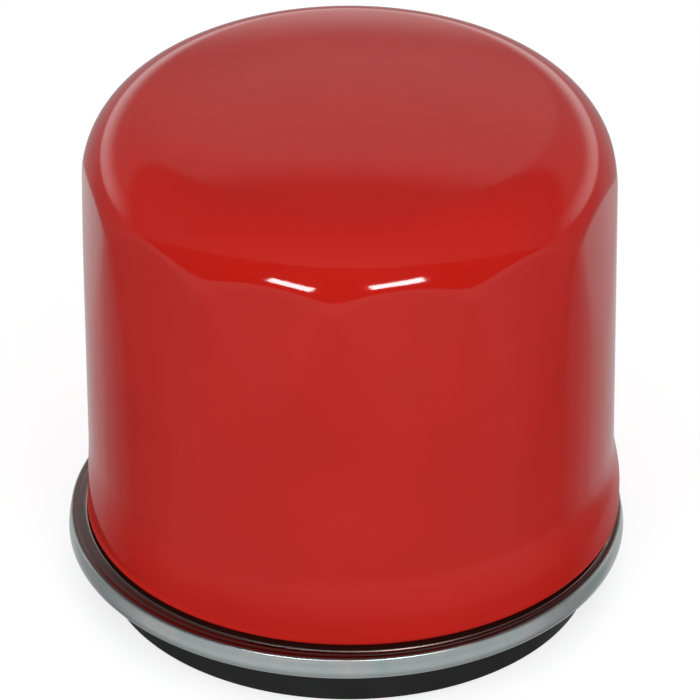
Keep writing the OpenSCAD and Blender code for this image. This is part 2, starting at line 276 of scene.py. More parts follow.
class Nodes:
    """Short hand for building one material's nodes."""

    def __init__(self, name):
        self.material = bpy.data.materials.new(name)
        self.material.use_nodes = True
        self.tree = self.material.node_tree
        self.tree.nodes.clear()
        self.shader = self.add("BsdfPrincipled")
        output = self.add("OutputMaterial")
        self.link(self.shader.outputs[0], output.inputs["Surface"])
        self.place = self.add("TexCoord").outputs["Object"]

    def add(self, kind, **settings):
        node = self.tree.nodes.new("ShaderNode" + kind)
        for key, value in settings.items():
            setattr(node, key, value)
        return node

    def link(self, source, target):
        self.tree.links.new(source, target)

    def set(self, **values):
        """Sets the shader's own sockets; an underscore in a name stands for a space."""
        for key, value in values.items():
            self.shader.inputs[key.replace("_", " ")].default_value = value

    def math(self, operation, a, b=None):
        node = self.add("Math", operation=operation)
        for socket, value in zip(node.inputs, (a, b)):
            if value is None:
                continue
            if isinstance(value, (int, float)):
                socket.default_value = value
            else:
                self.link(value, socket)
        return node.outputs[0]

    def noise(self, scale, detail=3, roughness=0.5, place=None, distortion=0.0):
        node = self.add("TexNoise")
        node.inputs["Scale"].default_value = scale
        node.inputs["Detail"].default_value = detail
        node.inputs["Roughness"].default_value = roughness
        node.inputs["Distortion"].default_value = distortion
        self.link(place or self.place, node.inputs["Vector"])
        return node.outputs["Fac"]

    def step(self, value, low, high, start=0.0, end=1.0):
        """Rises smoothly from start to end while value goes from low to high."""
        node = self.add("MapRange", interpolation_type="SMOOTHSTEP")
        self.link(value, node.inputs["Value"])
        for socket, number in zip(node.inputs[1:5], (low, high, start, end)):
            socket.default_value = number
        return node.outputs[0]

    def height(self):
        """Height above the sealing face, in metres."""
        split = self.add("SeparateXYZ")
        self.link(self.place, split.inputs[0])
        return split.outputs["Z"]

    def ramp(self, factor, stops):
        node = self.add("ValToRGB")
        elements = node.color_ramp.elements
        while len(elements) < len(stops):
            elements.new(0.5)
        for element, (position, colour) in zip(elements, stops):
            element.position = position
            element.color = (*colour, 1)
        self.link(factor, node.inputs["Fac"])
        return node.outputs["Color"]

    def grey_ramp(self, factor, low, high, start=0.3, end=0.7):
        return self.ramp(factor, [(start, (low,) * 3), (end, (high,) * 3)])

    def mix(self, factor, a, b, blend="MIX"):
        node = self.add("Mix", data_type="RGBA", blend_type=blend)
        for socket, value in ((node.inputs[0], factor), (node.inputs[6], a), (node.inputs[7], b)):
            if isinstance(value, (int, float)):
                socket.default_value = value
            elif isinstance(value, tuple):
                socket.default_value = (*value, 1)
            else:
                self.link(value, socket)
        return node.outputs[2]

    def ring_place(self, around, across):
        """Coordinates for marks that run round the filter: around scales the turn, across the radius and height."""
        split = self.add("SeparateXYZ")
        self.link(self.place, split.inputs[0])
        x, y, z = split.outputs
        angle = self.math("ARCTAN2", y, x)
        radius = self.math("SQRT", self.math("ADD", self.math("MULTIPLY", x, x), self.math("MULTIPLY", y, y)))
        # The angle goes round a small circle, so that nothing jumps where it passes half a turn
        join = self.add("CombineXYZ")
        self.link(self.math("MULTIPLY", self.math("COSINE", angle), around), join.inputs[0])
        self.link(self.math("MULTIPLY", self.math("SINE", angle), around), join.inputs[1])
        height = self.math("MULTIPLY", z, across)
        self.link(self.math("ADD", self.math("MULTIPLY", radius, across), height), join.inputs[2])
        return join.outputs[0]

    def bump(self, height, strength, distance, base=None):
        node = self.add("Bump")
        node.inputs["Strength"].default_value = strength
        node.inputs["Distance"].default_value = distance
        self.link(height, node.inputs["Height"])
        if base is not None:
            self.link(base, node.inputs["Normal"])
        return node.outputs["Normal"]


def red_enamel():
    """Baked gloss enamel: deep red, faint orange peel, slightly uneven film."""
    n = Nodes("red_enamel")
    film = n.noise(60, 4, 0.55)
    colour = n.ramp(film, [(0.3, (0.490, 0.0122, 0.0076)), (0.7, (0.530, 0.0142, 0.0088))])
    n.set(Roughness=0.4, Specular_IOR_Level=0.0, Coat_Roughness=0.07, Coat_IOR=1.5)
    height = n.height()
    # Painted shade: the neck, down in the groove beside the fold, is painted near black and loses its coat there
    clear_of_neck_shade = n.step(height, 0.00972, 0.00990)
    n.link(n.mix(clear_of_neck_shade, (0.018, 0.004, 0.003), colour), n.shader.inputs["Base Color"])
    # The film is thinner and duller towards the rolled seam
    gloss = n.step(height, 0.0102, 0.0225, 0.3)
    n.link(n.math("MULTIPLY", gloss, clear_of_neck_shade), n.shader.inputs["Coat Weight"])
    peel = n.noise(420, 2, 0.45)
    swell = n.noise(90, 2, 0.4)
    normal = n.bump(peel, 0.25, 0.00001)
    n.link(normal, n.shader.inputs["Normal"])
    n.link(n.bump(swell, 0.3, 0.00003, normal), n.shader.inputs["Coat Normal"])
    return n.material


def rolled_steel():
    """Bare plated sheet: fine marks round the axis from rolling, a faint blue-green passivation, painted shade on the
    fold.
    """
    n = Nodes("rolled_steel")
    rings = n.noise(1.0, 6, 0.65, n.ring_place(1.2, 9000))
    blotch = n.noise(130, 4, 0.6)
    tint = n.ramp(blotch, [(0.35, (0.70, 0.84, 0.84)), (0.65, (0.93, 0.94, 0.93))])
    colour = n.mix(0.22, tint, n.grey_ramp(rings, 0.5, 0.95, 0.3, 0.7), "MULTIPLY")
    height = n.height()
    # Painted shade: a dark reddish-brown tint dims the fold's reflections and the glint along the brow's top, less so
    # on the ridge round the fold's inner edge
    fold = n.step(height, 0.00848, 0.00876)
    ridge = n.step(height, 0.00905, 0.00912)
    painted_fold_shade = n.math("MULTIPLY", fold, n.math("SUBTRACT", 1.0, n.math("MULTIPLY", ridge, 0.35)))
    colour = n.mix(n.math("MULTIPLY", painted_fold_shade, 0.92), colour, (0.19, 0.105, 0.095))
    n.link(colour, n.shader.inputs["Base Color"])
    n.set(Metallic=1.0, Anisotropic=0.35)
    n.link(n.grey_ramp(rings, 0.25, 0.38), n.shader.inputs["Roughness"])
    n.link(n.bump(rings, 0.12, 0.00002), n.shader.inputs["Normal"])
    return n.material


def plated_steel(name="plated_steel", tone=(0.62, 0.63, 0.62), roughness=(0.28, 0.46)):
    """Zinc or tin plated pressing: soft mottled spangle and a few handling marks."""
    n = Nodes(name)
    cloud = n.noise(300, 5, 0.6)
    grain = n.noise(2200, 2, 0.5)
    dark = tuple(c * 0.82 for c in tone)
    colour = n.ramp(cloud, [(0.3, dark), (0.7, tone)])
    n.link(colour, n.shader.inputs["Base Color"])
    n.set(Metallic=1.0)
    n.link(n.grey_ramp(cloud, *roughness), n.shader.inputs["Roughness"])
    n.link(n.bump(grain, 0.15, 0.00002), n.shader.inputs["Normal"])
    return n.material


def spring_steel():
    """Oil-tempered wire: dark, with drawing marks."""
    n = Nodes("spring_steel")
    marks = n.noise(700, 5, 0.7)
    n.link(n.ramp(marks, [(0.3, (0.16, 0.165, 0.175)), (0.7, (0.34, 0.345, 0.36))]), n.shader.inputs["Base Color"])
    n.set(Metallic=1.0)
    n.link(n.grey_ramp(marks, 0.26, 0.42), n.shader.inputs["Roughness"])
    n.link(n.bump(marks, 0.2, 0.00001), n.shader.inputs["Normal"])
    return n.material


def rubber(name, tone, roughness):
    """Moulded or lathe-cut nitrile: near black, fine grain, a faint bloom."""
    n = Nodes(name)
    grain = n.noise(3500, 3, 0.6)
    bloom = n.noise(160, 4, 0.6)
    bright = tuple(c * 1.9 for c in tone)
    n.link(n.ramp(bloom, [(0.35, tone), (0.75, bright)]), n.shader.inputs["Base Color"])
    n.set(Specular_IOR_Level=0.45)
    n.link(n.grey_ramp(bloom, roughness - 0.06, roughness + 0.08), n.shader.inputs["Roughness"])
    n.link(n.bump(grain, 0.2, 0.00003), n.shader.inputs["Normal"])
    return n.material


def filter_paper():
    """Resin-treated cellulose: matt tan with fibres and a cloudy formation."""
    n = Nodes("filter_paper")
    stretch = n.add("Mapping")
    stretch.inputs["Scale"].default_value = (1, 1, 0.35)
    n.link(n.place, stretch.inputs["Vector"])
    fibre = n.noise(5200, 4, 0.75, stretch.outputs[0], 0.6)
    cloud = n.noise(420, 3, 0.6)
    tan = n.ramp(cloud, [(0.3, (0.50, 0.33, 0.13)), (0.7, (0.66, 0.47, 0.22))])
    n.link(n.mix(0.35, tan, n.grey_ramp(fibre, 0.6, 1.0), "MULTIPLY"), n.shader.inputs["Base Color"])
    n.set(Roughness=0.88, Specular_IOR_Level=0.25, Sheen_Weight=0.15)
    n.link(n.bump(fibre, 0.5, 0.00005), n.shader.inputs["Normal"])
    return n.material


def plastisol(name, tone):
    """Cured adhesive or compound: semi-gloss, with small bubbles."""
    n = Nodes(name)
    bubbles = n.add("TexVoronoi", feature="SMOOTH_F1")
    bubbles.inputs["Scale"].default_value = 900
    n.link(n.place, bubbles.inputs["Vector"])
    cloud = n.noise(250, 3, 0.5)
    bright = tuple(min(1, c * 1.5) for c in tone)
    n.link(n.ramp(cloud, [(0.3, tone), (0.7, bright)]), n.shader.inputs["Base Color"])
    n.set(Roughness=0.42, Specular_IOR_Level=0.5)
    n.link(n.bump(bubbles.outputs["Distance"], 0.25, 0.00006), n.shader.inputs["Normal"])
    return n.material


def finish(obj, *materials):
    obj.data.materials.clear()
    for material in materials:
        obj.data.materials.append(material)


# ---------------------------------------------------------------------------------------------
# Can
# ---------------------------------------------------------------------------------------------

def soft_min(surfaces, softness):
    """The least of several arrays, with the creases between them rounded."""
    s = np.array(surfaces)
    low = s.min(0)
    return low - softness * np.log(np.exp(-(s - low) / softness).sum(0))


def fold_shift(height):
    """How far the neck and the fold round it sit off the axis at a height."""
    return np.interp(height, [FOLD_LOW_Z, FOLD_HIGH_Z], [RIM_SHIFT, FOLD_SHIFT])


def can_path():
    """The can's outer face from the dome's centre down to the neck of the seam."""
    centre_r = CAN_R - SHOULDER_R
    crown_z = CAN_TOP_Z - CROWN_R
    join = math.degrees(math.asin(centre_r / (CROWN_R - SHOULDER_R)))
    shoulder_z = crown_z + (CROWN_R - SHOULDER_R) * math.cos(math.radians(join))
    path = arc((0, crown_z), CROWN_R, 90, 90 - join, 22)[:-1]
    path[0] = (0.0, CAN_TOP_Z)
    path += arc((centre_r, shoulder_z), SHOULDER_R, 90 - join, 0, 44)
    path += line((CAN_R, shoulder_z - 0.5), (CAN_R, FLARE_TOP_Z), 44)
    for i in range(15):
        t = i / 14
        path.append((CAN_R + FLARE * ease(t), FLARE_TOP_Z + (FLARE_Z - FLARE_TOP_Z) * t))
    path += line((CAN_R + FLARE, FLARE_Z), (CAN_R + FLARE, LIP_Z), 5)[1:]
    path += arc((CAN_R + FLARE - LIP_R, LIP_Z), LIP_R, 0, -78, 12)
    path += [(CAN_R + NECK_INSET + 0.1, LIP_Z - LIP_R - 0.1), (CAN_R + NECK_INSET, LIP_Z - LIP_R - 0.25)]
    return path, shoulder_z


def can_shell(enamel, bare):
    """Drawn can: crown, shoulder, softly blended wrench flats, flare and the hook inside the seam."""
    outer, shoulder_z = can_path()
    middle = side_path(outer, -SHEET / 2)
    middle[0] = (0.0, CAN_TOP_Z - SHEET / 2)
    inner = side_path(outer, -SHEET)
    inner[0] = (0.0, CAN_TOP_Z - SHEET)
    hook_z = SEAM_LOW_Z + SHEET * 1.5 + LAYER + 0.06
    hook_path = [(CAN_SEAM_R, 8.8), *arc((CAN_SEAM_R + LAYER, hook_z), LAYER, 180, 360, 14),
                 (CAN_SEAM_R + 2 * LAYER, HOOK_TOP_Z)]
    hook = side_path([middle[-1], *hook_path], SHEET / 2)[1:]
    hook_back = side_path([middle[-1], *hook_path], -SHEET / 2)[1:]
    outline = outer + hook + hook_back[::-1] + inner[::-1]
    count = len(outer)
    tilt = FLAT_DEPTH / (shoulder_z - FLAT_FADE_Z)
    step = 2 * math.pi / FLATS

    def shape(index, angles):
        r, z = outline[index]
        from_inside = index >= len(outline) - count
        radii = np.full(len(angles), r)
        if z > FLARE_TOP_Z and r > CAN_R * 0.7:
            inset = SHEET if from_inside else 0.0
            flats = []
            for side in (-0.5, 0.5, 1.5):
                off = np.mod(angles, step) - side * step
                flats.append((CAN_R - inset - (z - FLAT_FADE_Z) * tilt) / np.cos(off) ** FLAT_STRAIGHTNESS)
            cuts = soft_min([radii, soft_min(flats, FLAT_CORNER_SOFTNESS)], FLAT_EDGE_SOFTNESS)
            start = min(1.0, (z - FLARE_TOP_Z) / 6)
            radii = radii + (cuts - radii) * start
        return radii, np.full(len(angles), z)

    segments = FLATS * 28
    verts, faces, owners = revolve(outline, segments, shape)
    bare_from = count + len(hook)
    inner_faces = [k for k, owner in enumerate(owners) if owner >= bare_from]
    verts = np.array(verts, float)
    heights = verts[:, 2]
    flared = (1 - np.cos(np.pi * np.clip((FLARE_TOP_Z - heights) / (FLARE_TOP_Z - FLARE_Z), 0, 1))) / 2
    above = CAN_SHIFT + (LIP_SHIFT - CAN_SHIFT) * flared - CAN_LEAN * np.maximum(heights - FLARE_TOP_Z, 0)
    # The shift changes from the neck's to the flared end's over the upper part of the lip
    reach = 0.75 * LIP_R
    rolled_in = np.clip((heights - (LIP_Z - reach)) / reach, 0, 1)
    verts[:, 0] += fold_shift(heights) * (1 - rolled_in) + above * rolled_in
    obj = make_object("can_shell_drawn", verts, faces, 50, inner_faces)
    finish(obj, enamel, bare)
    return obj


# ---------------------------------------------------------------------------------------------
# Base
# ---------------------------------------------------------------------------------------------

def lid_outline():
    """The seaming lid from its hook in the seam, over the rolled edge, to the collar inside the gasket."""
    chuck_r = CAN_SEAM_R - LAYER
    cover_r = CAN_SEAM_R + LAYER
    wall_r = SEAM_R - SHEET / 2
    bend = 0.5
    brow_r = wall_r - 0.25                  # the band leans in towards its top
    brow_z = 8.30
    low = SEAM_LOW_Z + SHEET / 2 + bend
    step_z = 9.0
    lip = 0.35
    lip_outer = chuck_r - 0.98
    lip_inner = lip_outer - 2 * lip
    lip_z = 4.875
    groove = GASKET_H + SHEET / 2
    collar_r = GASKET_R - GASKET_W - 0.05 - SHEET / 2
    path = line((brow_r + 0.02, brow_z), (wall_r, low + 0.35), 10)
    path += [(wall_r, low + 0.35)]
    path += arc((wall_r - bend, low), bend, 0, -90, 10)
    path += arc((chuck_r + bend, low), bend, -90, -180, 10)
    path += line((chuck_r, low + 0.4), (chuck_r, step_z), 3)
    path += arc(((chuck_r + lip_outer) / 2, step_z), (chuck_r - lip_outer) / 2, 0, 180, 14)
    path += line((lip_outer, step_z - 0.6), (lip_outer, lip_z), 3)
    path += arc(((lip_outer + lip_inner) / 2, lip_z), lip, 0, -180, 12)
    path += arc((lip_inner - 0.4, groove - 0.4), 0.4, 0, 90, 8)
    path += arc((collar_r + 0.4, groove - 0.4), 0.4, 90, 180, 8)
    path += [(collar_r, 4.2), (collar_r, 3.4)]
    inside = cover_r - SHEET / 2
    fold_in = inside - 0.22
    # Up the fold's inner wall, round the ridge on it, and out over the band's brow
    top = [(inside, FOLD_LOW_Z), (inside, 8.5), (fold_in, 8.85), (fold_in, FOLD_HIGH_Z)]
    top += arc((fold_in + 0.10, FOLD_HIGH_Z), 0.10, 180, 40, 6)
    top += [(fold_in + reach, z) for reach, z in
            ((0.24, 8.99), (0.50, 8.94), (0.74, 8.90), (0.84, 8.79), (0.90, 8.79))]
    top += arc((brow_r - 0.10, 8.42), 0.36, 98, 8, 10)
    under = [(cover_r + SHEET / 2, brow_z), (cover_r + SHEET / 2, FOLD_LOW_Z)]
    outside, inner = side_path(path, SHEET / 2), side_path(path, -SHEET / 2)
    return top + outside + inner[::-1] + under


def seaming_lid(material):
    outline = lid_outline()

    def shape(index, angles):
        """The rolled band is never quite true: a few hundredths of a millimetre of waviness."""
        r, z = outline[index]
        inside_seam = max(0.0, min(1.0, (r - (SEAM_R - 0.6)) / 0.5))
        wave = 0.012 * np.sin(3 * angles + 0.6) + 0.010 * np.sin(7 * angles + 2.1) + 0.006 * np.sin(17 * angles)
        return np.full(len(angles), r) + inside_seam * (wave + BAND_SWELL), z + inside_seam * wave * 1.5

    verts, faces, _ = revolve(outline, 288, shape)
    verts = np.array(verts, float)
    # The shift changes from the band's to the fold's between these two radii
    band_r, fold_r = SEAM_R - 0.4, CAN_SEAM_R + LAYER - SHEET / 2
    radii = np.hypot(verts[:, 0], verts[:, 1])
    inward = np.clip((band_r - radii) / (band_r - fold_r), 0, 1)
    verts[:, 0] += RIM_SHIFT + (fold_shift(verts[:, 2]) - RIM_SHIFT) * inward
    obj = make_object("seaming_lid_rolled", verts, faces, 50)
    finish(obj, material)
    return obj


def seam_compound(material):
    """The bead of sealing compound in the fold, over the body hook."""
    inner = CAN_SEAM_R + LAYER + SHEET / 2 + 0.02
    corners = [(inner, 7.5), (inner + 0.36, 7.5), (inner + 0.22, 8.1), (inner, 8.2)]
    obj = lathe("seam_compound_bead", rounded_outline(corners, 0.06, 3), 96)
    obj.data.transform(Matrix.Translation((RIM_SHIFT * MM, 0, 0)))
    finish(obj, material)
    return obj


def sealing_gasket(material):
    """Lathe-cut ring with softened edges and a shallow relief round its outer face."""
    inner = GASKET_R - GASKET_W
    outline = rounded_outline(
        [(inner, 0.0), (GASKET_R, 0.0), (GASKET_R, 3.0), (GASKET_R - 0.03, GASKET_H), (inner, GASKET_H)],
        [0.4, 0.15, 0.05, 0.3, 0.3], 8)
    obj = lathe("sealing_gasket_ring", outline, 256, None, 50)
    obj.data.transform(Matrix.Translation((GASKET_SHIFT * MM, 0, 0)))
    finish(obj, material)
    return obj


def thread_radius(height, angles):
    """Radius of the internal thread at a height, for each angle round the bore."""
    phase = np.mod(height / THREAD_PITCH - angles / (2 * math.pi), 1.0)
    # From the crest (minor radius) up the flank to the root (major radius) and back
    crest, root = 0.125, 0.4375
    rise = np.clip((0.5 - np.abs(phase - 0.5) - crest) / (root - crest), 0, 1)
    return THREAD_MINOR_R + (THREAD_MAJOR_R - THREAD_MINOR_R) * rise


def tapping_plate(material):
    """Thick base plate with an extruded neck, a cut M20 x 1.5 thread and the inlet holes."""
    plate_top = PLATE_Z + PLATE_T
    edge = 0.5
    lead_gap = 0.15                         # how far the thread's lead-in opens past its major radius
    outside = [(THREAD_MAJOR_R + lead_gap, PLATE_Z), (14.0, PLATE_Z), (24.0, PLATE_Z)]
    outside += arc((PLATE_R - edge, PLATE_Z + edge), edge, -90, 0, 6)
    outside += arc((PLATE_R - edge, plate_top - edge), edge, 0, 90, 6)
    outside += [(24.0, plate_top), (14.5, plate_top)]
    outside += arc((NECK_R + 0.6, plate_top + 0.6), 0.6, 270, 180, 8)
    outside += arc((NECK_R - 0.5, NECK_TOP_Z - 0.5), 0.5, 0, 90, 6)
    outside += [(THREAD_MAJOR_R + 0.1, NECK_TOP_Z)]
    heights = np.linspace(NECK_TOP_Z, PLATE_Z, 76)[1:-1]
    outline = outside + [(THREAD_MINOR_R, z) for z in heights]

    def shape(index, angles):
        r, z = outline[index]
        if index < len(outside):
            return np.full(len(angles), r), np.full(len(angles), z)
        lead_in = THREAD_MAJOR_R + lead_gap - min(z - PLATE_Z, NECK_TOP_Z - z) * 1.2
        return np.maximum(thread_radius(z, angles), lead_in), np.full(len(angles), z)

    obj = lathe("tapping_plate_threaded", outline, 144, shape, 32)
    chamfer = 0.35
    drill_top = plate_top - chamfer / 2
    drill_outline = [(0, PLATE_Z - 1), (INLET_R + chamfer + 1, PLATE_Z - 1), (INLET_R, PLATE_Z + chamfer),
                     (INLET_R, drill_top), (INLET_R + 1, drill_top + 1), (0, drill_top + 1)]
    verts, faces, _ = revolve(drill_outline, 48)
    drills = []
    for i in range(INLETS):
        turn = (i + 0.5) * 2 * math.pi / INLETS
        place = np.array([INLET_PCD_R * math.cos(turn), INLET_PCD_R * math.sin(turn), 0])
        drills.append(([tuple(np.array(v) + place) for v in verts], faces))
    cut(obj, merge("inlet_drills", drills))
    obj.data.shade_smooth()
    obj.data.set_sharp_from_angle(angle=math.radians(32))
    finish(obj, material)
    return obj


def anti_drainback_valve(material):
    """Moulded rubber: thick collar, thin skirt with a rounded lip, eight shallow ribs on the skirt."""
    low, high = node_low("anti_drainback_valve"), node_high("anti_drainback_valve")
    bore = NECK_R + 0.08
    lip = node_radius("anti_drainback_valve")
    corners = [(bore, low + 0.85), (13.6, low + 0.85), (14.4, 11.6), (lip - 1.4, low), (lip, low),
               (lip, low + 1.0), (15.1, 12.7), (14.3, 13.15), (15.6, high - 0.9), (15.6, high), (bore, high)]
    outline = rounded_outline(corners, [0.2, 0.3, 0.4, 0.3, 0.35, 0.4, 0.5, 0.3, 0.3, 0.3, 0.3], 6)
    ribs = 8

    def shape(index, angles):
        r, z = outline[index]
        on_top = r > 15.6 and z > low + 1.0
        fade = math.sin(math.pi * min(1, max(0, (r - 15.6) / (lip - 16.4)))) if on_top else 0.0
        rib = np.exp(-(np.sin(angles * ribs / 2) / 0.16) ** 2)
        return np.full(len(angles), r), z + 0.25 * fade * rib

    obj = lathe("anti_drainback_valve_moulded", outline, 192, shape, 60)
    finish(obj, material)
    return obj


# ---------------------------------------------------------------------------------------------
# Springs and paper
# ---------------------------------------------------------------------------------------------

def coil_spring(name, node, wire, active_turns, material):
    """Compression spring with one closed, ground turn at each end, filling its node's height."""
    low, high = node_low(node), node_high(node)
    mean_r = node_radius(node) - wire / 2
    turns = active_turns + 2
    steps = int(turns * 48)
    start_z, end_z = low + wire * 0.36, high - wire * 0.36
    closed_rise = wire * 0.9
    active_rise = (end_z - start_z - 2 * closed_rise) / active_turns
    points, frames = [], []
    for i in range(steps + 1):
        t = i / steps * turns
        z = start_z + closed_rise * min(t, 1) + active_rise * min(max(t - 1, 0), active_turns)
        z += closed_rise * max(t - 1 - active_turns, 0)
        a = 2 * math.pi * t
        out = np.array([math.cos(a), math.sin(a), 0])
        points.append(out * mean_r + np.array([0, 0, z]))
        frames.append((out, np.array([0, 0, 1.0])))
    # Eases the pitch in and out of the closed turns
    heights = np.array([p[2] for p in points])
    window = np.hanning(25)
    padded = np.concatenate([np.full(12, heights[0]), heights, np.full(12, heights[-1])])
    for p, z in zip(points, np.convolve(padded, window / window.sum(), "valid")):
        p[2] = z
    verts, faces = tube_along(points, wire / 2, frames, 20)
    verts[:, 2] = np.clip(verts[:, 2], low, high)
    obj = make_object(name, verts, faces, 35)
    finish(obj, material)
    return obj


def pleated_media(material):
    """Folded paper with round folds; the legs wander a little between the adhesive rings."""
    low, high = node_low("pleated_media"), node_high("pleated_media")
    paper = 0.5
    pleats = 48
    out_r = node_radius("pleated_media") - paper / 2
    in_r = 15.4
    fold_out, fold_in = 0.55, 0.38
    step = 2 * math.pi / pleats
    centreline = []
    for i in range(pleats):
        a = i * step
        for r0, fold, turn, sign in ((out_r, fold_out, a, 1), (in_r, fold_in, a + step / 2, -1)):
            mid = np.array([math.cos(turn), math.sin(turn)])
            side = np.array([-mid[1], mid[0]])
            centre = mid * (r0 - sign * fold)
            for k in range(9):
                b = math.pi * (k / 8 - 0.5)
                centreline.append(centre + fold * (sign * math.cos(b) * mid + math.sin(b) * side))
    line_points = np.array(centreline)
    ahead, behind = np.roll(line_points, -1, 0), np.roll(line_points, 1, 0)
    tangent = ahead - behind
    tangent /= np.linalg.norm(tangent, axis=1)[:, None]
    normal = np.stack([tangent[:, 1], -tangent[:, 0]], 1)
    radius = np.linalg.norm(line_points, axis=1)
    count = len(line_points)
    rows = 28
    verts, faces = [], []
    share = np.clip((radius - in_r) / (out_r - in_r), 0, 1)
    index = np.arange(count)
    for j in range(rows + 1):
        t = j / rows
        wander = 0.10 * math.sin(math.pi * t) * np.sin(9 * t + index * 0.37) * share
        middle = line_points + wander[:, None] * normal
        for side in (1, -1):
            ring = middle + side * paper / 2 * normal
            z = low + (high - low) * t
            verts.extend((x, y, z) for x, y in ring)
    for j in range(rows):
        for s in range(2):
            base, above = (2 * j + s) * count, (2 * j + 2 + s) * count
            faces.extend((base + k, base + (k + 1) % count, above + (k + 1) % count, above + k) for k in range(count))
    for j in (0, rows):
        a, b = 2 * j * count, (2 * j + 1) * count
        faces.extend((a + k, a + (k + 1) % count, b + (k + 1) % count, b + k) for k in range(count))
    obj = make_object("pleated_media_folded", verts, faces, 50)
    finish(obj, material)
    return obj


# ---------------------------------------------------------------------------------------------
# The object
# ---------------------------------------------------------------------------------------------

def place(obj, body, node, slot):
    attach(obj, body)
    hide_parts(node)


enamel = red_enamel()
rolled = rolled_steel()
plated = plated_steel()
bright = plated_steel("bright_steel", (0.70, 0.71, 0.72), (0.2, 0.34))
tinned = plated_steel("tinned_steel", (0.66, 0.66, 0.63), (0.24, 0.4))
wire = spring_steel()
nitrile = rubber("gasket_nitrile", (0.0048, 0.0050, 0.0050), 0.42)
valve_nitrile = rubber("valve_nitrile", (0.014, 0.014, 0.016), 0.55)
paper = filter_paper()
adhesive = plastisol("potting_plastisol", (0.17, 0.028, 0.018))
compound = plastisol("seam_compound_cured", (0.55, 0.47, 0.25))

place(can_shell(enamel, tinned), "housing", "can_shell", "red_enamel")
place(seaming_lid(rolled), "housing", "seaming_lid", "plated_lid_steel")
place(seam_compound(compound), "housing", "seam_compound", "seam_compound")
place(sealing_gasket(nitrile), "housing", "sealing_gasket", "gasket_rubber")
place(tapping_plate(plated), "housing", "tapping_plate", "plated_plate_steel")

valve = anti_drainback_valve(valve_nitrile)
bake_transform(valve)
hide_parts("anti_drainback_valve")

element_spring = coil_spring("element_spring_coil", "element_spring", 1.6, 3, wire)
place(element_spring, "housing", "element_spring", "spring_steel")
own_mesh(element_spring)

bypass_spring = coil_spring("bypass_spring_coil", "bypass_spring", 1.2, 4, wire)
place(bypass_spring, "element", "bypass_spring", "spring_steel")
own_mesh(bypass_spring)

place(pleated_media(paper), "element", "pleated_media", "filter_paper")

for node, material in {
    "lower_end_cap": tinned, "upper_end_cap": tinned, "centre_tube": bright,
    "lower_adhesive": adhesive, "upper_adhesive": adhesive, "media_seam_clip": bright, "spring_seat": tinned,
    "bypass_seat_plate": tinned, "bypass_cage": tinned, "bypass_valve_disc": bright,
    "bypass_valve_seal": valve_nitrile, "bypass_stem": bright,
}.items():
    finish(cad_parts[node], material)


# ---------------------------------------------------------------------------------------------
# Stage, light and camera
# ---------------------------------------------------------------------------------------------

CAMERA_AZIMUTH = 3.5
CAMERA_ELEVATION = 32.06
CAMERA_DISTANCE = 0.872
CAMERA_TARGET_Z = 0.03166
CAMERA_LENS = 359.4
# The studio: elevations in degrees, and how bright each part of it is
WALL_TOP = 44.5
WALL_LEVEL = 0.30
PATCH_ELEVATION = 33
PATCH_LEVEL = 0.2
CEILING_EDGE = 44
CEILING_LEVEL = 0.26
STRIP_LEVEL = 0.9
ROOM_LEVEL = 0.01
FLOOR_EDGE = 0.15                           # how far below the horizon the floor ends, as a sine
FLOOR_GAIN = 1.6


def direction(azimuth, elevation):
    """Unit vector from the object towards a place; azimuth 0 is the side of -Y."""
    a, e = math.radians(azimuth), math.radians(elevation)
    return Vector((math.sin(a) * math.cos(e), -math.cos(a) * math.cos(e), math.sin(e)))


def add_camera():
    data = bpy.data.cameras.new("camera")
    data.lens = CAMERA_LENS
    data.clip_start, data.clip_end = 0.05, 20
    camera = bpy.data.objects.new("camera", data)
    bpy.context.collection.objects.link(camera)
    target = Vector((0, 0, CAMERA_TARGET_Z))
    back = direction(CAMERA_AZIMUTH, CAMERA_ELEVATION)
    aim = (-back).to_track_quat("-Z", "Y").to_matrix().to_4x4()
    camera.matrix_world = Matrix.Translation(target + back * CAMERA_DISTANCE) @ aim
    bpy.context.scene.camera = camera


def add_floor():
    """A pale floor that light from below passes through, and that isn't seen from underneath."""
    mesh = bpy.data.meshes.new("floor")
    size = 6.0
    mesh.from_pydata([(-size, -size, 0), (size, -size, 0), (size, size, 0), (-size, size, 0)], [], [(0, 1, 2, 3)])
    floor = bpy.data.objects.new("floor", mesh)
    bpy.context.collection.objects.link(floor)
    n = Nodes("floor")
    n.set(Base_Color=(0.5, 0.5, 0.5, 1), Roughness=0.9, Specular_IOR_Level=0.0,
          Emission_Color=(1, 1, 1, 1), Emission_Strength=0.67)
    clear = n.add("BsdfTransparent")
    pick = n.add("MixShader")
    through = n.math("MAXIMUM", n.add("NewGeometry").outputs["Backfacing"],
                     n.add("LightPath").outputs["Is Shadow Ray"])
    n.link(through, pick.inputs[0])
    n.link(n.shader.outputs[0], pick.inputs[1])
    n.link(clear.outputs[0], pick.inputs[2])
    output = next(k for k in n.tree.nodes if k.type == "OUTPUT_MATERIAL")
    n.link(pick.outputs[0], output.inputs["Surface"])
    floor.data.materials.append(n.material)
    floor.location.z = -0.0002
    floor.visible_glossy = False
    floor.visible_diffuse = False


def add_softbox(name, azimuth, elevation, distance, width, height, power, tilt=0, reflected=True):
    data = bpy.data.lights.new(name, "AREA")
    data.shape = "RECTANGLE"
    data.size, data.size_y = width, height
    data.energy = power
    light = bpy.data.objects.new(name, data)
    bpy.context.collection.objects.link(light)
    way = direction(azimuth, elevation)
    light.location = way * distance + Vector((0, 0, 0.04))
    light.rotation_mode = "QUATERNION"
    light.rotation_quaternion = way.to_track_quat("Z", "Y") @ Quaternion((0, 0, 1), math.radians(tilt))
    light.visible_camera = False
    light.visible_glossy = reflected


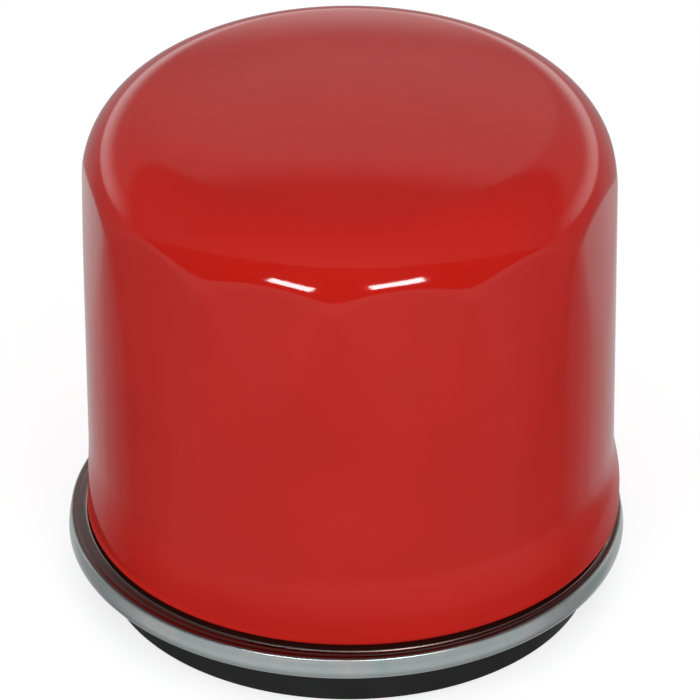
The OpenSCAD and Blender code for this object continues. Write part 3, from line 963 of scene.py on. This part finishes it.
def add_world():
    """Studio surroundings, by direction: white wall behind, dark ceiling and room, mid-grey floor."""
    world = bpy.data.worlds.new("studio")
    bpy.context.scene.world = world
    world.use_nodes = True
    tree = world.node_tree
    tree.nodes.clear()

    def add(kind, **settings):
        node = tree.nodes.new("ShaderNode" + kind)
        for key, value in settings.items():
            setattr(node, key, value)
        return node

    def math_node(operation, a, b=None):
        node = add("Math", operation=operation)
        for socket, value in zip(node.inputs, (a, b)):
            if isinstance(value, (int, float)):
                socket.default_value = value
            elif value is not None:
                tree.links.new(value, socket)
        return node.outputs[0]

    def levels(value, low, high, stops):
        """Grey level for a value between low and high, from (value, level) stops."""
        scaled = add("MapRange")
        tree.links.new(value, scaled.inputs["Value"])
        scaled.inputs["From Min"].default_value = low
        scaled.inputs["From Max"].default_value = high
        ramp = add("ValToRGB")
        ramp.color_ramp.interpolation = "EASE"
        elements = ramp.color_ramp.elements
        while len(elements) < len(stops):
            elements.new(0.5)
        for element, (position, level) in zip(elements, stops):
            element.position = (position - low) / (high - low)
            element.color = (level, level, level, 1)
        tree.links.new(scaled.outputs["Result"], ramp.inputs["Fac"])
        return ramp.outputs["Color"]

    split = add("SeparateXYZ")
    tree.links.new(add("TexCoord").outputs["Generated"], split.inputs[0])
    x, y, z = split.outputs
    flat = math_node("SQRT", math_node("ADD", math_node("MULTIPLY", x, x), math_node("MULTIPLY", y, y)))
    behind = math_node("DIVIDE", y, math_node("MAXIMUM", flat, 0.001))
    # Over the top of the wall behind, whose edge is level at WALL_TOP degrees straight behind
    top = math.radians(WALL_TOP)
    over = math_node("SUBTRACT", math_node("MULTIPLY", z, math.cos(top)), math_node("MULTIPLY", y, math.sin(top)))
    wall = levels(over, -1, 1, [(-0.05, 1.0), (0.05, 0.0)])
    wall = math_node("MULTIPLY", wall, levels(behind, -1, 1, [(0.10, 0.0), (0.55, 1.0)]))
    wall_level = levels(z, 0, 1, [(0.09, 1.6), (0.31, WALL_LEVEL)])
    # A paler patch in the middle of it
    patch = math.radians(PATCH_ELEVATION)
    near_patch = math_node("ADD", math_node("MULTIPLY", y, math.cos(patch)),
                           math_node("MULTIPLY", z, math.sin(patch)))
    wall_level = math_node("ADD", wall_level, levels(near_patch, 0.9, 1, [(0.955, 0.0), (0.99, PATCH_LEVEL)]))
    # The ceiling begins above the camera, with a narrow bright strip along its edge
    edge = math.radians(CEILING_EDGE)
    ceiling = math_node("ADD", math_node("MULTIPLY", z, math.cos(edge)), math_node("MULTIPLY", y, math.sin(edge)))
    strip = levels(ceiling, -0.1, 0.1, [(-0.012, 0.0), (0.0, STRIP_LEVEL), (0.012, 0.0)])
    strip = math_node("MULTIPLY", strip, levels(math_node("ABSOLUTE", x), 0, 1, [(0.3, 1.0), (0.45, 0.0)]))
    strip = math_node("MULTIPLY", strip, levels(y, -1, 1, [(-0.3, 1.0), (-0.1, 0.0)]))
    shade = levels(y, -1, 1, [(-0.7, CEILING_LEVEL), (0.2, 0.6 * CEILING_LEVEL)])
    room = math_node("MULTIPLY", levels(ceiling, -0.1, 0.1, [(-0.02, 0.0), (0.02, 1.0)]), shade)
    room = math_node("ADD", math_node("ADD", room, strip), ROOM_LEVEL)
    upper = math_node("ADD", math_node("MULTIPLY", wall, wall_level), room)
    lower = levels(behind, -1, 1, [(-1.0, 0.38), (-0.3, 0.36), (0.12, 0.2), (0.3, 0.17), (0.46, 0.28),
                                   (0.60, 0.42), (0.74, 0.62), (0.92, 0.72)])
    # The floor ends nearer on the camera's side, so that the dark room shows below the horizon there
    rise = math_node("ADD", z, levels(y, -1, 1, [(-0.6, FLOOR_EDGE), (0.2, 0.0)]))
    above = levels(rise, -0.2, 0.2, [(-0.02, 0.0), (0.04, 1.0)])
    lower = math_node("MULTIPLY", lower, levels(z, -1, 0, [(-0.54, 1.0 / FLOOR_GAIN), (-0.40, 1.0)]))
    lower = math_node("MULTIPLY", lower, FLOOR_GAIN)
    # Far off behind and to the sides the floor is dimmer
    far = levels(z, -1, 0, [(-0.50, 0.0), (-0.42, 0.55)])
    dim = math_node("MULTIPLY", far, levels(behind, -1, 1, [(0.2, 0.0), (0.6, 1.0)]))
    lower = math_node("MULTIPLY", lower, math_node("SUBTRACT", 1.0, dim))
    level = math_node("ADD", math_node("MULTIPLY", upper, above),
                      math_node("MULTIPLY", lower, math_node("SUBTRACT", 1.0, above)))
    background, output = add("Background"), add("OutputWorld")
    tree.links.new(level, background.inputs["Strength"])
    tree.links.new(background.outputs[0], output.inputs["Surface"])


add_camera()
add_floor()
add_world()
add_softbox("softbox_left", -20, 13.5, 1.1, 0.36, 0.12, 3.1, tilt=-20)
add_softbox("softbox_right", 23, 17, 1.1, 0.42, 0.12, 3.7, tilt=11)
add_softbox("top_fill", 0, 80, 1.0, 1.2, 1.2, 2.4, reflected=False)
add_softbox("front_fill", 3, 43, 0.36, 0.3, 0.2, 0.27, reflected=False)
add_softbox("left_fill", -82, 20, 1.3, 1.2, 1.0, 4.2, reflected=False)
add_softbox("right_fill", 82, 20, 1.3, 1.2, 1.0, 4.3, reflected=False)
add_softbox("back_fill", 180, 38, 1.3, 1.2, 1.0, 2.6, reflected=False)
add_softbox("floor_bounce", 0, -80, 0.8, 0.8, 0.8, 0.6, reflected=False)

bpy.context.scene.view_settings.view_transform = "Standard"
